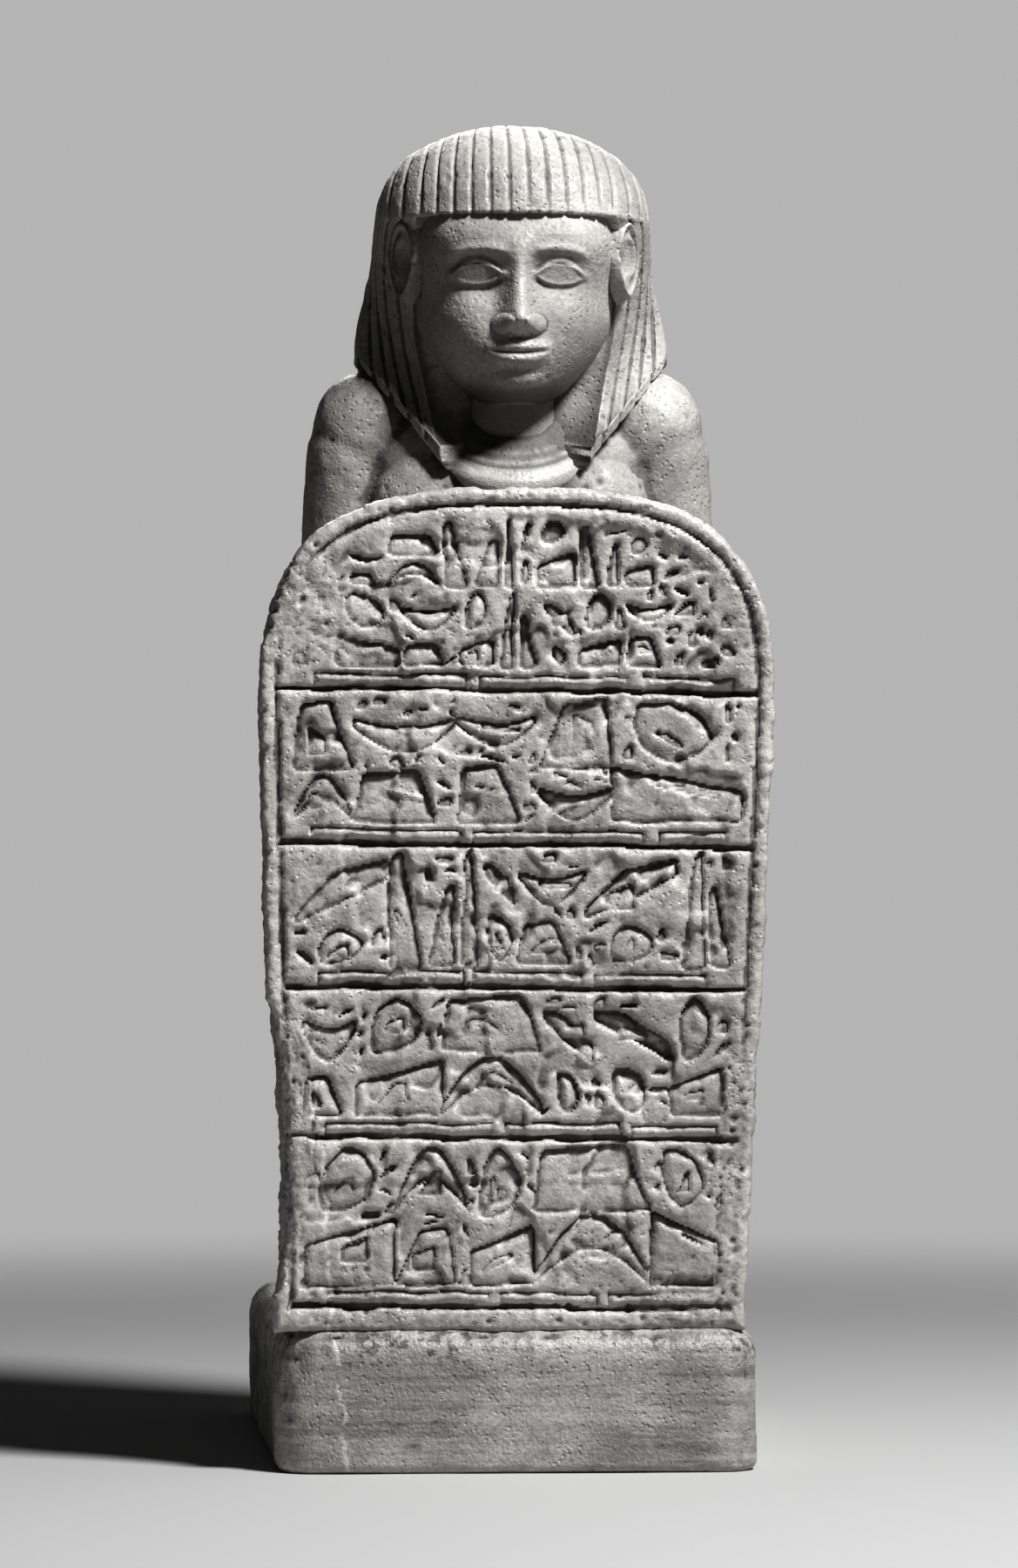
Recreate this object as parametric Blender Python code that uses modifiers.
# A kneeling man who holds a round-topped stele in front of him, on a low plinth.
# All of it is carved from one block of stone, so it is one solid. Metres, +Z up.
# The origin is under the middle of the plinth, and the stele faces -Y.

import math
import random

import bmesh
import bpy
from mathutils import Matrix, Vector

# Driving dimensions
FIGURE_HEIGHT = 0.268        # plinth top to crown
PLINTH_HEIGHT = 0.032
PLINTH_SIDE_MARGIN = 0.001   # plinth beyond the foot of the slab, each side
PLINTH_BACK_MARGIN = 0.012   # plinth beyond the feet
PLINTH_FLARE = 0.0035        # how much wider each side of the plinth is at its back
PLINTH_CORNER = 0.009        # round of its upright corners
PLINTH_EDGE = 0.007          # round of its top edge
PLINTH_WEAR = 0.0012         # round of its bottom edge
STELE_HEIGHT = 0.182         # above the plinth
STELE_WIDTH = 0.1126         # at the spring of the arch
STELE_TAPER = 0.0048         # how much narrower each side of the slab is at its foot
STELE_FOOT_SHIFT = -0.0014   # the foot sits a little to the left of the arch
STELE_THICKNESS = 0.018
STELE_SET_BACK = 0.003       # from the plinth's front
STELE_EDGE = 0.0018          # round of the slab's edges
ARCH_HEIGHT = 0.048
ARCH_POWER = 2.9             # 2 is an ellipse, more is squarer
BORDER_WIDTH = 0.0032        # raised band round the slab
GROOVE_WIDTH = 0.0012        # cut line inside the band and under each register
GROOVE_DEPTH = 0.0013
STROKE_DEPTH = 0.0009
STROKE_ROUNDS = 8            # corners of a pebble-shaped stroke
GROUND_BAR = 0.0026          # raised bar along the foot of each register
REGISTER_LINES = (0.021, 0.223, 0.402, 0.573, 0.757)  # shares of the slab's height
GROUND_LINE = 0.0006         # thin cut along the top of that bar
STROKE_GAP = 0.0016          # bare stone between two strokes
STROKE_SEED = 11
BREAK_RISE = 0.21            # middle of the broken edge, as a share of the slab's height
BREAK_LENGTH = 0.064
BREAK_REACH = 0.0036         # how far the break eats into the slab
FIGURE_SHIFT = 0.0023        # the man kneels a little to the right of the slab's middle
STRANDS_BROW = 11            # strands of the wig across the brow
STRANDS_SIDE = 12            # strands from the temple to the middle of the back
STRAND_DEPTH = 0.0009
BODY_VOXEL = 0.0017
BODY_SMOOTHING = 10
BODY_KEPT = 0.027            # share of the fused body's faces that are kept
HAND_VOXEL = 0.0008          # at the figure's named height
HAND_SMOOTHING = 4
HAND_KEPT = 0.05
FINGER_WIDTH = 4.3           # in figure units
BELT_HEIGHT = 9
BELT_PROUD = 1.2             # how far the belt stands out of the waist
COLLAR_SLOPE = 0.62          # fall of the collar to the front, for each unit forward

# Worked out from the driving dimensions
UNIT = FIGURE_HEIGHT / 268   # points on the figure count in these, about a millimetre
FIGURE_DEPTH = 132           # back of the slab to the feet
PLINTH_DEPTH = STELE_SET_BACK + STELE_THICKNESS + FIGURE_DEPTH * UNIT + PLINTH_BACK_MARGIN
STELE_FRONT = -PLINTH_DEPTH / 2 + STELE_SET_BACK
STELE_BACK = STELE_FRONT + STELE_THICKNESS
STELE_FOOT_WIDTH = STELE_WIDTH - 2 * STELE_TAPER
PLINTH_WIDTH = STELE_FOOT_WIDTH + 2 * PLINTH_SIDE_MARGIN
STELE_TOP = PLINTH_HEIGHT + STELE_HEIGHT
FIELD_INSET = BORDER_WIDTH + 1.7 * GROOVE_WIDTH
SPRING = STELE_TOP - ARCH_HEIGHT
KNEE_REACH = 61.5            # back of the slab to the middle of the figure
FIGURE_ORIGIN = Vector((FIGURE_SHIFT, STELE_BACK + KNEE_REACH * UNIT, PLINTH_HEIGHT))
HEAD_SHIFT = 0.7             # the head sits a little to the right of the body
CHIN = 203.5                 # height above the plinth
FRINGE = 245.5               # lower edge of the wig over the brow
EAR_SPREAD = 23.6            # middle of the face to the middle of an ear
CROWN = 268
DOME_POWER = 2.1             # 2 is an oval wig, more is squarer


def clear_scene():
    for item in list(bpy.data.objects):
        bpy.data.objects.remove(item, do_unlink=True)


def new_collection(name):
    collection = bpy.data.collections.new(name)
    bpy.context.scene.collection.children.link(collection)
    return collection


clear_scene()
PART = new_collection("kneeling_statue_part")
TOOLS = new_collection("forms_and_cutters")


def stone_material():
    material = bpy.data.materials.new("grey_stone")
    material.use_nodes = True
    shader = material.node_tree.nodes["Principled BSDF"]
    shader.inputs["Base Color"].default_value = (0.42, 0.41, 0.39, 1)
    shader.inputs["Roughness"].default_value = 0.55
    shader.inputs["Metallic"].default_value = 0.0
    return material


STONE = stone_material()


def new_object(name, bm, collection=TOOLS):
    bmesh.ops.recalc_face_normals(bm, faces=bm.faces)
    mesh = bpy.data.meshes.new(name)
    bm.to_mesh(mesh)
    bm.free()
    mesh.materials.append(STONE)
    item = bpy.data.objects.new(name, mesh)
    collection.objects.link(item)
    if collection is TOOLS:
        item.hide_render = True
        item.display_type = "WIRE"
    return item


def combine(target, tool, operation):
    step = target.modifiers.new(f"{operation.lower()}_{tool.name}", "BOOLEAN")
    step.operation = operation
    step.object = tool
    step.solver = "EXACT"


def on_figure(x, y, z):
    return FIGURE_ORIGIN + Vector((x, y, z)) * UNIT


def smoothstep(low, high, value):
    share = min(max((value - low) / (high - low), 0.0), 1.0)
    return share * share * (3 - 2 * share)


def bell(value, width):
    return math.exp(-(value / width) ** 2)


def signed_power(value, power):
    return math.copysign(abs(value) ** power, value)


# Plinth

def plinth():
    bm = bmesh.new()
    bmesh.ops.create_cube(bm, size=1)
    for vertex in bm.verts:
        back = vertex.co.y > 0
        half_width = PLINTH_WIDTH / 2 + (PLINTH_FLARE if back else 0)
        vertex.co.x = math.copysign(half_width, vertex.co.x)
        vertex.co.y *= PLINTH_DEPTH
        vertex.co.z = PLINTH_HEIGHT if vertex.co.z > 0 else 0
    upright = [e for e in bm.edges if abs(e.verts[0].co.z - e.verts[1].co.z) > PLINTH_HEIGHT / 2]
    bmesh.ops.bevel(bm, geom=upright, affect="EDGES", offset=PLINTH_CORNER, segments=4,
                    profile=0.5, material=-1)
    top = [e for e in bm.edges if min(v.co.z for v in e.verts) > PLINTH_HEIGHT * 0.99]
    bmesh.ops.bevel(bm, geom=top, affect="EDGES", offset=PLINTH_EDGE, segments=3,
                    profile=0.5, material=-1)
    bottom = [e for e in bm.edges if max(v.co.z for v in e.verts) < PLINTH_HEIGHT * 0.01]
    bmesh.ops.bevel(bm, geom=bottom, affect="EDGES", offset=PLINTH_WEAR, segments=1,
                    profile=0.5, material=-1)
    return new_object("kneeling_statue", bm, PART)


# Stele

def stele_centre(z):
    share = min(max((z - PLINTH_HEIGHT) / (SPRING - PLINTH_HEIGHT), 0.0), 1.0)
    return STELE_FOOT_SHIFT * (1 - share)


def stele_half_width(z):
    foot, top = STELE_FOOT_WIDTH / 2, STELE_WIDTH / 2
    if z <= SPRING:
        share = (z - PLINTH_HEIGHT) / (SPRING - PLINTH_HEIGHT)
        return foot + (top - foot) * share
    rise = min((z - SPRING) / ARCH_HEIGHT, 1.0)
    return top * (1 - rise ** ARCH_POWER) ** (1 / ARCH_POWER)


def stele_outline(inset, foot, arch_steps=20):
    # Points of the slab's outline, inset all round, from its left foot over the arch
    left = [Vector((stele_centre(foot) - stele_half_width(foot) + inset, 0, foot))]
    half = STELE_WIDTH / 2 - inset
    rise = ARCH_HEIGHT - inset
    for step in range(arch_steps + 1):
        angle = math.pi * step / arch_steps
        x = -half * signed_power(math.cos(angle), 2 / ARCH_POWER)
        z = SPRING + rise * signed_power(math.sin(angle), 2 / ARCH_POWER)
        left.append(Vector((x, 0, z)))
    left.append(Vector((stele_centre(foot) + stele_half_width(foot) - inset, 0, foot)))
    return left


def prism(bm, outline, front, back):
    # A flat outline in X and Z, carried straight from front to back along Y
    face = bm.faces.new([bm.verts.new((p.x, front, p.z)) for p in outline])
    made = bmesh.ops.extrude_face_region(bm, geom=[face])["geom"]
    moved = [g for g in made if isinstance(g, bmesh.types.BMVert)]
    bmesh.ops.translate(bm, verts=moved, vec=(0, back - front, 0))


def stele_slab():
    bm = bmesh.new()
    foot = PLINTH_HEIGHT / 2
    outline = stele_outline(0, PLINTH_HEIGHT)
    outline[0].z = foot
    outline[-1].z = foot
    prism(bm, outline, STELE_FRONT, STELE_BACK)
    rim = [e for e in bm.edges
           if abs(e.verts[0].co.y - e.verts[1].co.y) < STELE_EDGE
           and max(v.co.z for v in e.verts) > PLINTH_HEIGHT]
    bmesh.ops.bevel(bm, geom=rim, affect="EDGES", offset=STELE_EDGE, segments=2,
                    profile=0.5, material=-1)
    return new_object("stele_slab", bm)


def register_heights():
    return [PLINTH_HEIGHT + share * STELE_HEIGHT for share in REGISTER_LINES]


def border_groove():
    bm = bmesh.new()
    loops = []
    foot = register_heights()[0]
    for inset in (BORDER_WIDTH, BORDER_WIDTH + GROOVE_WIDTH):
        rise = 0 if inset == BORDER_WIDTH else GROOVE_WIDTH
        points = stele_outline(inset, foot + rise)
        verts = [bm.verts.new((p.x, STELE_FRONT - GROOVE_DEPTH, p.z)) for p in points]
        loops += [bm.edges.new((verts[i - 1], verts[i])) for i in range(len(verts))]
    ring = bmesh.ops.bridge_loops(bm, edges=loops)["faces"]
    made = bmesh.ops.extrude_face_region(bm, geom=ring)["geom"]
    moved = [g for g in made if isinstance(g, bmesh.types.BMVert)]
    bmesh.ops.translate(bm, verts=moved, vec=(0, 2 * GROOVE_DEPTH, 0))
    return new_object("border_groove", bm)


def quad(left, right, low, high, left_high=None, right_high=None):
    left_high = left if left_high is None else left_high
    right_high = right if right_high is None else right_high
    return [Vector((left, 0, low)), Vector((right, 0, low)),
            Vector((right_high, 0, high)), Vector((left_high, 0, high))]


def register_grooves():
    bm = bmesh.new()
    reach = BORDER_WIDTH + GROOVE_WIDTH / 2
    for z in register_heights()[1:]:
        middle, half = stele_centre(z), stele_half_width(z) - reach
        prism(bm, quad(middle - half, middle + half, z - GROOVE_WIDTH / 2, z + GROOVE_WIDTH / 2),
              STELE_FRONT - GROOVE_DEPTH, STELE_FRONT + GROOVE_DEPTH)
    return new_object("register_grooves", bm)


def ground_lines():
    # The thin line above the raised bar at the foot of each register
    bm = bmesh.new()
    for line in register_heights():
        z = line + GROOVE_WIDTH / 2 + GROUND_BAR
        middle, half = stele_centre(z), stele_half_width(z) - FIELD_INSET
        prism(bm, quad(middle - half, middle + half, z, z + GROUND_LINE),
              STELE_FRONT - STROKE_DEPTH, STELE_FRONT + STROKE_DEPTH / 2)
    return new_object("ground_lines", bm)


def stroke_bar(x, z, width, height, lean):
    # A bar that thins and sinks towards one end
    low, high = (1.0, 0.6) if lean > 0 else (0.6, 1.0)
    return [Vector((x, 0, z)), Vector((x + width, 0, z)),
            Vector((x + width, 0, z + height * low)), Vector((x, 0, z + height * high))]


def stroke_post(x, z, width, height, lean):
    # An upright wedge, wide at its foot and leaning at its tip
    tip = x + width * (0.5 + 0.3 * lean)
    return [Vector((x, 0, z)), Vector((x + width, 0, z)),
            Vector((tip + 0.2 * width, 0, z + height)),
            Vector((tip - 0.2 * width, 0, z + 0.94 * height))]


def stroke_arc(x, z, width, height, lean):
    # A band bent up or down, thick in its middle
    points = []
    steps = 5
    for upper, order in ((0.0, range(steps + 1)), (1.0, reversed(range(steps + 1)))):
        for step in order:
            share = step / steps
            bulge = math.sin(math.pi * share)
            sweep = bulge if lean > 0 else 1 - bulge
            thick = height * (0.16 + 0.34 * bulge) * upper
            points.append(Vector((x + width * share, 0, z + 0.5 * height * sweep + thick)))
    return points


def stroke_gouge(x, z, width, height, lean):
    # A slanting blade
    rise = height * 0.62
    low, high = (z, z + rise) if lean > 0 else (z + rise, z)
    return [Vector((x, 0, low)), Vector((x + width, 0, high)),
            Vector((x + width, 0, high + 0.3 * height)),
            Vector((x + 0.4 * width, 0, (low + high) / 2 + 0.42 * height)),
            Vector((x, 0, low + 0.16 * height))]


def stroke_pad(x, z, width, height, lean):
    # A low block, sloped at one end
    cut = 0.4 * min(width, height)
    near, far = (cut, 0.3 * cut) if lean > 0 else (0.3 * cut, cut)
    return [Vector((x, 0, z)), Vector((x + width, 0, z)),
            Vector((x + width - far, 0, z + height)), Vector((x + near, 0, z + 0.92 * height))]


def stroke_pebble(x, z, width, height, lean):
    # An uneven oval
    points = []
    for step in range(STROKE_ROUNDS):
        angle = 2 * math.pi * step / STROKE_ROUNDS
        reach = 0.46 + 0.05 * math.cos(3 * angle + lean)
        points.append(Vector((x + width * (0.5 + reach * math.cos(angle)), 0,
                              z + height * (0.5 + reach * math.sin(angle + 0.2 * lean)))))
    return points


def fill_cell(chance, x, z, width, height):
    # One cell of a row: the strokes that stand in it
    gap = STROKE_GAP
    lean = chance.choice((-1, 1))
    share = chance.uniform(0.4, 0.6)
    low, top = share * (height - gap), (1 - share) * (height - gap)
    pick = chance.choice(("posts", "arc", "gouge", "pads", "pebble", "mixed"))
    if pick == "posts":
        each = (width - gap) * share
        return [stroke_post(x, z, each, height, lean),
                stroke_post(x + each + gap, z, width - gap - each, 0.7 * height, -lean)]
    if pick == "arc":
        return [stroke_pad(x, z, 0.8 * width, 0.8 * low, lean),
                stroke_arc(x, z + low + gap, width, top, lean)]
    if pick == "gouge":
        return [stroke_pebble(x + 0.2 * width, z, 0.55 * width, 0.8 * low, lean),
                stroke_gouge(x, z + 0.8 * low + gap, width, top + 0.2 * low, lean)]
    if pick == "pads":
        return [stroke_arc(x, z, width, low, -lean),
                stroke_pad(x, z + low + gap, width, top, lean)]
    if pick == "pebble":
        return [stroke_bar(x, z, width, low, lean),
                stroke_pebble(x + 0.1 * width, z + low + gap, 0.7 * width, top, lean)]
    post = 0.34 * width
    rest = width - post - gap
    return [stroke_post(x, z, post, height, 0),
            stroke_pebble(x + post + gap, z, rest, low, lean),
            stroke_gouge(x + post + gap, z + low + gap, rest, top, lean)]


def arch_ceiling(x):
    # Highest place of a stroke under the arch
    half = STELE_WIDTH / 2 - FIELD_INSET - STROKE_GAP
    rise = ARCH_HEIGHT - FIELD_INSET - STROKE_GAP
    return SPRING + rise * max(1 - abs(x / half) ** ARCH_POWER, 0.0) ** (1 / ARCH_POWER)


def fill_row(chance, left, right, low, high):
    # Cells of uneven width side by side, from the left edge to the right
    strokes = []
    x = left
    height = high - low
    while right - x > 0.3 * height:
        width = min(height * chance.uniform(0.45, 0.95), right - x)
        if right - x - width < 0.45 * height:
            width = right - x
        room = min(high, arch_ceiling(x), arch_ceiling(x + width)) - low
        if room > 0.35 * height:
            strokes += fill_cell(chance, x + STROKE_GAP / 2, low, width - STROKE_GAP, room)
        x += width
    return strokes


def all_strokes():
    chance = random.Random(STROKE_SEED)
    strokes = []
    lines = register_heights()
    for number, line in enumerate(lines):
        low = line + GROOVE_WIDTH / 2 + GROUND_BAR + GROUND_LINE + STROKE_GAP
        if number + 1 < len(lines):
            rows = [(low, lines[number + 1] - GROOVE_WIDTH / 2 - STROKE_GAP)]
        else:
            top = STELE_TOP - FIELD_INSET - STROKE_GAP
            middle = low + 0.52 * (top - low)
            rows = [(low, middle - STROKE_GAP / 2), (middle + STROKE_GAP / 2, top)]
        for row_low, row_high in rows:
            centre = stele_centre(row_low)
            half = stele_half_width(row_low) - FIELD_INSET - STROKE_GAP
            strokes += fill_row(chance, centre - half, centre + half, row_low, row_high)
    return strokes


def strokes_cut():
    bm = bmesh.new()
    for outline in all_strokes():
        prism(bm, outline, STELE_FRONT - STROKE_DEPTH, STELE_FRONT + STROKE_DEPTH)
    return new_object("strokes_cut", bm)


# Body

def add_ball(bm, centre, radii):
    place = Matrix.Translation(on_figure(*centre)) @ Matrix.Diagonal(Vector(radii) * UNIT).to_4x4()
    bmesh.ops.create_uvsphere(bm, u_segments=24, v_segments=16, radius=1, matrix=place)


def add_limb(bm, start, end, radius_start, radius_end, flat=1.0):
    # A tapered round limb with a ball at each end; flat squeezes it from above
    start_point, end_point = on_figure(*start), on_figure(*end)
    axis = end_point - start_point
    turn = axis.to_track_quat("Z", "Y").to_matrix().to_4x4()
    middle = Matrix.Translation((start_point + end_point) / 2)
    bmesh.ops.create_cone(bm, cap_ends=True, segments=24, radius1=radius_start * UNIT,
                          radius2=radius_end * UNIT, depth=axis.length, matrix=middle @ turn)
    add_ball(bm, start, (radius_start, radius_start, radius_start * flat))
    add_ball(bm, end, (radius_end, radius_end, radius_end * flat))


def add_block(bm, centre, size):
    place = Matrix.Translation(on_figure(*centre)) @ Matrix.Diagonal(Vector(size) * UNIT).to_4x4()
    bmesh.ops.create_cube(bm, size=1, matrix=place)


def mix_sections(sections, height):
    # Values of the section at a height, eased between the two nearest
    for low, high in zip(sections, sections[1:]):
        if height <= high[0]:
            share = smoothstep(low[0], high[0], height)
            return [a + (b - a) * share for a, b in zip(low[1:], high[1:])]
    return list(sections[-1][1:])


# The kilted hips, waist, ribs, chest and shoulders as rounded oblong sections:
# height, half width, half depth, middle from front to back
TRUNK = ((8, 41, 34, 26), (34, 44, 36, 24), (62, 39, 31, 20), (88, 31, 21, 12),
         (104, 29, 19, 9), (138, 33, 20, 5), (172, 35, 22, 2), (192, 34, 17.5, 2.5),
         (208, 25, 11, 3.5), (214, 16, 10, 2.5))
TRUNK_SQUARE = 0.85            # 1 is an oval section, less is squarer


def trunk_point(across, along, height, size=1.0, proud=0.0):
    # A point on the trunk, in the direction (across, along) from its middle
    half_width, half_depth, middle = mix_sections(TRUNK, height)
    reach = max(math.hypot(across, along), 1e-6)
    x = (half_width * size + proud) * signed_power(across / reach, TRUNK_SQUARE)
    y = middle + (half_depth * size + proud) * signed_power(along / reach, TRUNK_SQUARE)
    return on_figure(x, y, height)


def add_trunk(bm):
    made = bmesh.ops.create_uvsphere(bm, u_segments=40, v_segments=40, radius=1)["verts"]
    bottom, top = TRUNK[0][0], TRUNK[-1][0]
    closing = 0.03             # share of the height in which the ends close
    for vertex in made:
        level = 0.5 + math.asin(max(-1.0, min(1.0, vertex.co.z))) / math.pi
        size = min(min(level, 1 - level) / closing, 1.0)
        vertex.co = trunk_point(vertex.co.x, vertex.co.y, bottom + (top - bottom) * level, size)


def body_forms(bm):
    add_trunk(bm)
    for side in (-1, 1):
        add_ball(bm, (14 * side, 37, 47), (27, 23, 28))
        # Chest and shoulder blade, then shoulder, elbow and wrist
        add_ball(bm, (17 * side, -6.5, 180), (15, 11, 15))
        add_ball(bm, (19 * side, 11, 186), (16, 11, 20))
        add_ball(bm, (32.5 * side, 3, 198.5), (12.4, 12.5, 14))
        add_limb(bm, (35 * side, 3, 192), (40 * side, 9, 128), 11.5, 10)
        add_limb(bm, (40 * side, 9, 128), (43 * side, -50, 118), 10, 7)
        # Thigh under the kilt, then knee, shin and foot
        add_limb(bm, (30 * side, -38, 21), (25 * side, 28, 38), 20, 24)
        add_ball(bm, (31 * side, -43, 17), (18.5, 19, 18))
        add_limb(bm, (29 * side, -34, 11), (25 * side, 50, 12), 13, 10)
        add_limb(bm, (23 * side, 58, 31), (23 * side, 60, 7), 9.5, 10.5)
        add_ball(bm, (23 * side, 52, 6), (11, 16, 7))
        # Stone left between arm and ribs
        add_block(bm, (29 * side, 4, 152), (17, 20, 70))
    # Breast under the collar
    add_ball(bm, (0, -7, 181), (17, 12.5, 12))
    # Stone left between the man and the slab, and under his lap
    add_block(bm, (0, -28, 60), (68, 76, 120))
    add_block(bm, (0, -28, 134), (56, 76, 44))
    add_block(bm, (0, 20, 18), (70, 84, 44))


def fused(name, bm, voxel, smoothing, kept):
    # Overlapping forms made one soft skin, thinned to a share of its faces
    item = new_object(name, bm)
    fuse = item.modifiers.new("fuse", "REMESH")
    fuse.mode = "VOXEL"
    fuse.voxel_size = voxel
    soften = item.modifiers.new("soften", "SMOOTH")
    soften.factor = 0.5
    soften.iterations = smoothing
    thin = item.modifiers.new("thin", "DECIMATE")
    thin.ratio = kept
    return item


def body():
    bm = bmesh.new()
    body_forms(bm)
    return fused("body", bm, BODY_VOXEL, BODY_SMOOTHING, BODY_KEPT)


# Hands laid on the back of the slab, fingers up

def hand_forms(bm, side):
    radius = FINGER_WIDTH / 2
    back = -KNEE_REACH
    add_ball(bm, (43 * side, back + 2, 117), (9, 7.5, 9))
    for number, length in enumerate((19, 22, 21, 16)):
        x = (43 + FINGER_WIDTH * (1.5 - number)) * side
        add_limb(bm, (x, back, 117), (x, back - 0.4, 119 + length), radius * 1.12, radius)
    add_limb(bm, (37 * side, back, 115), (30.5 * side, back - 0.3, 124), radius * 1.2, radius)


def hand(side):
    bm = bmesh.new()
    hand_forms(bm, side)
    name = f"hand_{'left' if side > 0 else 'right'}"
    return fused(name, bm, HAND_VOXEL * UNIT * 1000, HAND_SMOOTHING, HAND_KEPT)


# Belt

def belt():
    bm = bmesh.new()
    half, slope = BELT_HEIGHT / 2, 0.8
    profile = [(0, -half), (0.98, -half), (1, slope - half), (1, half - slope), (0.98, half),
               (0, half)]
    verts = [bm.verts.new((r, 0, z)) for r, z in profile]
    edges = [bm.edges.new((verts[i], verts[i + 1])) for i in range(len(verts) - 1)]
    bmesh.ops.spin(bm, geom=verts + edges, cent=(0, 0, 0), axis=(0, 0, 1),
                   angle=2 * math.pi, steps=28, use_merge=True)
    bmesh.ops.remove_doubles(bm, verts=bm.verts, dist=1e-5)
    for vertex in bm.verts:
        size = math.hypot(vertex.co.x, vertex.co.y)
        height = 92 + vertex.co.z
        if size > 0.5:
            proud = BELT_PROUD if size > 0.99 else 0.0
            vertex.co = trunk_point(vertex.co.x, vertex.co.y, height, 1.0, proud)
        else:
            vertex.co = on_figure(0, 12, height)
    return new_object("belt", bm)


# Head

def face_relief(x, height):
    # How far the carved face stands forward of the plain head, in figure units.
    # x is measured from the middle of the face, height from the chin.
    side = abs(x)
    relief = 0.0
    relief += 1.1 * bell(height - 31.5 + 0.02 * side * side, 3.2) * bell(side, 17)
    relief -= 2.5 * bell(side - 9.2, 5.6) * bell(height - 28.3, 4.2)
    eye = 1 - ((side - 9.2) / 5.2) ** 2 - ((height - 28.5) / 2.6) ** 2
    relief += 1.9 * math.sqrt(max(eye, 0.0))
    brow = 33.6 - 0.022 * (side - 8.5) ** 2
    relief += 0.6 * bell(height - brow, 1.0) * smoothstep(2.5, 4.5, side) * smoothstep(18.5, 15, side)
    down = smoothstep(32, 17.5, height)
    under = smoothstep(14.6, 16.8, height)
    relief += (0.8 + 5.4 * down) * bell(x, 2.3 + 1.9 * down) * under * smoothstep(38, 30, height)
    relief += 2.3 * bell(side - 3.9, 1.7) * bell(height - 17.9, 2.0)
    relief += 1.4 * bell(x, 10) * bell(height - 11, 6)
    relief += 1.3 * bell(height - 12.4, 1.5) * smoothstep(8.6, 5.5, side)
    relief += 1.3 * bell(height - 9.0, 1.6) * smoothstep(8.0, 4.5, side)
    relief -= 1.2 * bell(height - 10.8, 0.7) * smoothstep(9.0, 7.0, side)
    relief -= 0.9 * bell(x, 6) * bell(height - 6.4, 1.5)
    relief += 2.2 * bell(x, 6.5) * bell(height - 3.4, 3.6)
    relief += 1.5 * bell(side - 13, 5.5) * bell(height - 20, 6.5)
    return relief


def head_point(turn, level):
    # turn runs round from the front, level from 1 at the top of the skull to -1.
    # The brow is squarer in plan than the jaw, so that the fringe lies close on it.
    power = 2.3 if level > 0 else 3.0
    size = (1 - abs(level) ** power) ** (1 / power)
    height = 29 + 29 * level
    jaw = 1 - 0.3 * smoothstep(20, -2, height)
    brow = smoothstep(22, 40, height)
    square = 0.92 - 0.24 * brow
    x = (22.8 + 1.2 * brow) * size * jaw * signed_power(math.sin(turn), square)
    forward = (26 + 2 * brow) * size * signed_power(math.cos(turn), square)
    forward += 3.8 * smoothstep(24, 0, height)
    front = smoothstep(0.15, 0.7, math.cos(turn))
    forward += face_relief(x, height) * front
    return x + HEAD_SHIFT, -4.5 - forward, CHIN + height


def head():
    columns, rows = 32, 30
    bm = bmesh.new()
    bmesh.ops.create_uvsphere(bm, u_segments=columns, v_segments=rows, radius=1)
    for vertex in bm.verts:
        turn = math.atan2(vertex.co.x, -vertex.co.y)
        turn -= 0.5 * math.sin(turn)
        fall = math.acos(max(-1.0, min(1.0, vertex.co.z)))
        fall += 0.26 * math.sin(2 * (fall - 0.25))
        level = math.cos(min(max(fall, 0.0), math.pi))
        if abs(vertex.co.z) > 0.99999:
            level = vertex.co.z
        vertex.co = on_figure(*head_point(turn, level))
    return new_object("head", bm)


def ear(side):
    # A flattened ball that faces outward and a little forward, with a bowl pressed into it
    out = Vector((0.85 * side, -0.53, 0))
    behind = Vector((0.53 * side, 0.85, 0))
    bm = bmesh.new()
    bmesh.ops.create_uvsphere(bm, u_segments=10, v_segments=8, radius=1)
    for vertex in bm.verts:
        proud, back, up = vertex.co
        wide = 1 - 0.3 * smoothstep(0.2, -1.0, up)
        bowl = 1.8 * bell(up - 0.05, 0.4) * bell(back + 0.15, 0.4) * smoothstep(0.1, 0.8, proud)
        place = out * (2.8 * proud - bowl) + behind * (5.4 * back * wide)
        vertex.co = on_figure(EAR_SPREAD * side + HEAD_SHIFT + place.x, place.y - 15 - 1.2 * up,
                              CHIN + 33 + 10.2 * up)
    return new_object(f"ear_{'left' if side > 0 else 'right'}", bm)


def collar():
    # Neck and the ripples of the collar, turned about an upright axis, then sloped to the front
    profile = [(0, 20), (12, 20), (12.2, 6), (12.8, 2)]
    for ring in range(5):
        reach, level = 12.6 + 1.7 * ring, 0.5 - 1.3 * ring
        profile += [(reach, level), (reach + 1.4, level - 0.4)]
    profile += [(17, -12), (0, -12)]
    bm = bmesh.new()
    verts = [bm.verts.new((r * UNIT, 0, z * UNIT)) for r, z in profile]
    edges = [bm.edges.new((verts[i], verts[i + 1])) for i in range(len(verts) - 1)]
    bmesh.ops.spin(bm, geom=verts + edges, cent=(0, 0, 0), axis=(0, 0, 1),
                   angle=2 * math.pi, steps=20, use_merge=True)
    bmesh.ops.remove_doubles(bm, verts=bm.verts, dist=1e-5)
    for vertex in bm.verts:
        if vertex.co.y > 0:
            vertex.co.y *= 0.6
        vertex.co.z += COLLAR_SLOPE * vertex.co.y
    bmesh.ops.translate(bm, verts=bm.verts, vec=on_figure(HEAD_SHIFT * 0.7, -1.5, CHIN))
    return new_object("collar", bm)


# Wig

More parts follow.
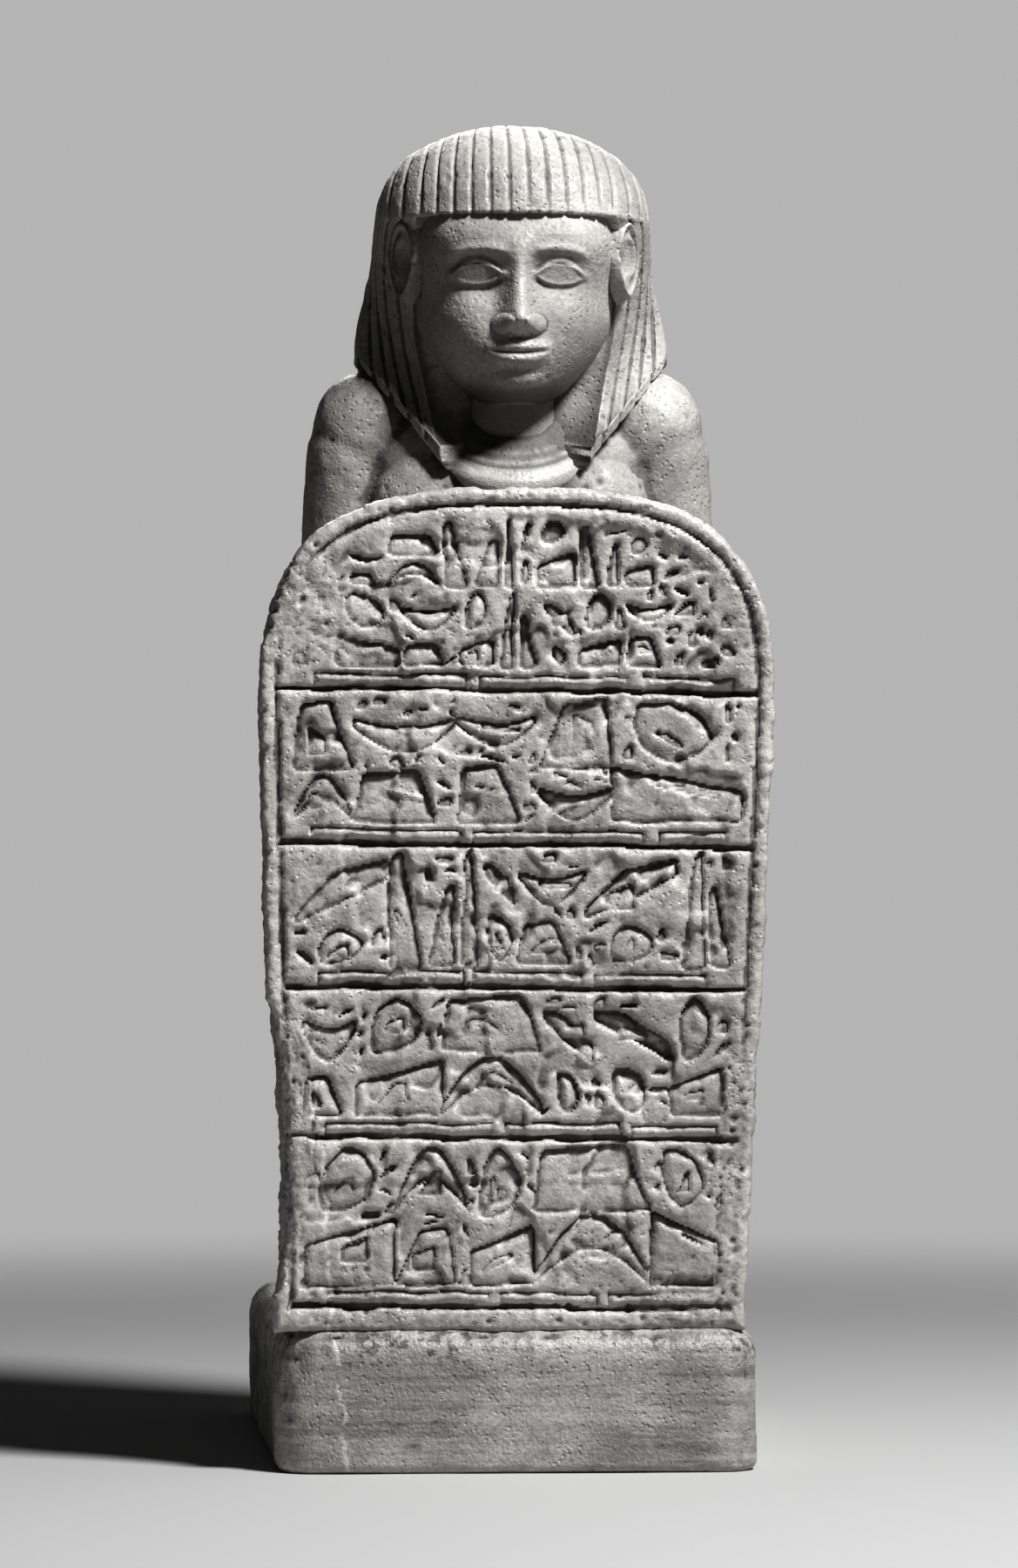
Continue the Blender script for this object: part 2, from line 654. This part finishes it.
BROW_TURN = math.radians(44)   # half of the fringe, as a turn from the front
WIG_MIDDLE = -1.7              # middle of the wig's plan, from front to back
WIG_HALF_WIDTH = 31.6
WIG_HALF_DEPTH = 31.0


def wig_band(turn):
    # Where a strand crosses the level of the fringe
    return WIG_HALF_WIDTH * math.sin(turn), WIG_MIDDLE - WIG_HALF_DEPTH * math.cos(turn)


def wig_dome(turn, share):
    # A strand from the whorl on the crown, share 0, to the level of the fringe, share 1
    whorl = 12.0
    band_x, band_y = wig_band(turn)
    x = band_x * share ** 0.3
    y = whorl + (band_y - whorl) * share
    out = min(math.hypot(x / WIG_HALF_WIDTH, (y - WIG_MIDDLE) / WIG_HALF_DEPTH), 1.0)
    z = FRINGE + (CROWN - FRINGE) * (1 - out ** DOME_POWER) ** (1 / DOME_POWER)
    return x, y, z


def wig_hem(turn):
    # The lower edge: inner corner on the chest, outer corner on the shoulder, then the back
    side = math.copysign(1, turn)
    around = (abs(turn) - BROW_TURN) / (math.pi - BROW_TURN)
    front = min(around / 0.42, 1.0)
    corner = 0.5 * math.pi * max((around - 0.42) / 0.58, 0.0)
    x = (16.5 + 19.7 * front) * max(math.cos(corner), 0.0) ** 0.75
    y = -19.5 + 17.5 * front + 35 * math.sin(corner) ** 0.85
    z = 188 + 25.5 * front - 9 * math.sin(corner)
    return x * side, y, z


def wig_skirt(turn, share):
    # A strand from the level of the fringe down to the lower edge
    band_x, band_y = wig_band(turn)
    hem_x, hem_y, hem_z = wig_hem(turn)
    mix = smoothstep(0.0, 1.0, share)
    x = band_x + (hem_x - band_x) * mix
    y = band_y + (hem_y - band_y) * mix
    z = FRINGE + (hem_z - FRINGE) * share
    near_face = bell(abs(turn) - BROW_TURN, 0.75)
    back = math.sin(math.pi * min(share / 0.9, 1.0)) ** 0.7 if 0 < share < 0.9 else 0.0
    y += 12 * near_face * back
    x += 2.5 * near_face * back * math.copysign(1, turn)
    return x, y, z


def wig_inside(turn, share):
    # Behind the face the wig is only a core within the head and the neck
    band_x, band_y = wig_band(turn)
    z = FRINGE + (190 - FRINGE) * max(share * 8 - 1, 0.0) / 7
    size = 0.3 + 0.35 * smoothstep(208, 222, z)
    return band_x * size, WIG_MIDDLE + (band_y - WIG_MIDDLE) * size, z


def strand_turns(columns_each):
    # The turn of each column of points, with an even number of columns to a strand
    turns = []
    front = STRANDS_BROW * columns_each
    for column in range(front + 1):
        turns.append((-BROW_TURN + 2 * BROW_TURN * column / front, column / columns_each, True))
    around = 2 * STRANDS_SIDE * columns_each
    for column in range(1, around):
        turn = BROW_TURN + (2 * math.pi - 2 * BROW_TURN) * column / around
        if turn > math.pi:
            turn -= 2 * math.pi
        turns.append((turn, column / columns_each, False))
    return turns


def wig():
    dome_rows, skirt_rows = 5, 7
    turns = strand_turns(2)
    rows = dome_rows + skirt_rows + 2
    bm = bmesh.new()
    bmesh.ops.create_uvsphere(bm, u_segments=len(turns), v_segments=rows, radius=1)
    cuts = []
    for vertex in bm.verts:
        row = round(math.acos(max(-1.0, min(1.0, vertex.co.z))) / math.pi * rows)
        angle = math.atan2(vertex.co.y, vertex.co.x) % (2 * math.pi)
        turn, strand, over_brow = turns[int(angle / (2 * math.pi) * len(turns))]
        crest = abs(math.sin(math.pi * strand))
        if row <= dome_rows:
            point = wig_dome(turn, 1 - (1 - row / dome_rows) ** 1.8)
            depth = smoothstep(0.1, 0.5, row / dome_rows)
        elif row <= dome_rows + skirt_rows:
            share = (row - dome_rows) / skirt_rows
            core, strands = wig_inside(turn, share), wig_skirt(turn, share)
            part_way = (0.55 if abs(abs(turn) - BROW_TURN) < 1e-6 else 0.0) if over_brow else 1.0
            point = [a + (b - a) * part_way for a, b in zip(core, strands)]
            depth = 0.0 if over_brow else 1.0
        else:
            band_x, band_y = wig_band(turn)
            point = (0, 2, 186) if row == rows else (0.14 * band_x, 0.14 * band_y, 187)
            depth = 0.0
        x, y, z = point
        vertex.co = on_figure(x + HEAD_SHIFT, y, z)
        cuts.append(STRAND_DEPTH * depth * (1 - crest))
    bm.normal_update()
    for vertex, cut in zip(bm.verts, cuts):
        vertex.co -= cut * vertex.normal
    return new_object("wig", bm)


# The break along the left edge of the slab

def edge_break():
    bm = bmesh.new()
    z = PLINTH_HEIGHT + BREAK_RISE * STELE_HEIGHT
    outside = 0.8 * BREAK_REACH
    x = stele_centre(z) - stele_half_width(z) - outside
    place = Matrix.Translation((x, STELE_FRONT + 0.2 * STELE_THICKNESS, z))
    size = Matrix.Diagonal((BREAK_REACH + outside, 1.2 * STELE_THICKNESS, BREAK_LENGTH / 2, 1))
    bmesh.ops.create_icosphere(bm, subdivisions=2, radius=1, matrix=place @ size)
    return new_object("edge_break", bm)


def build():
    statue = plinth()
    slab = stele_slab()
    for cutter in (border_groove(), register_grooves(), ground_lines(), strokes_cut(),
                   edge_break()):
        combine(slab, cutter, "DIFFERENCE")
    for form in (slab, body(), hand(-1), hand(1), belt(), collar(), head(), wig(), ear(-1), ear(1)):
        combine(statue, form, "UNION")


build()
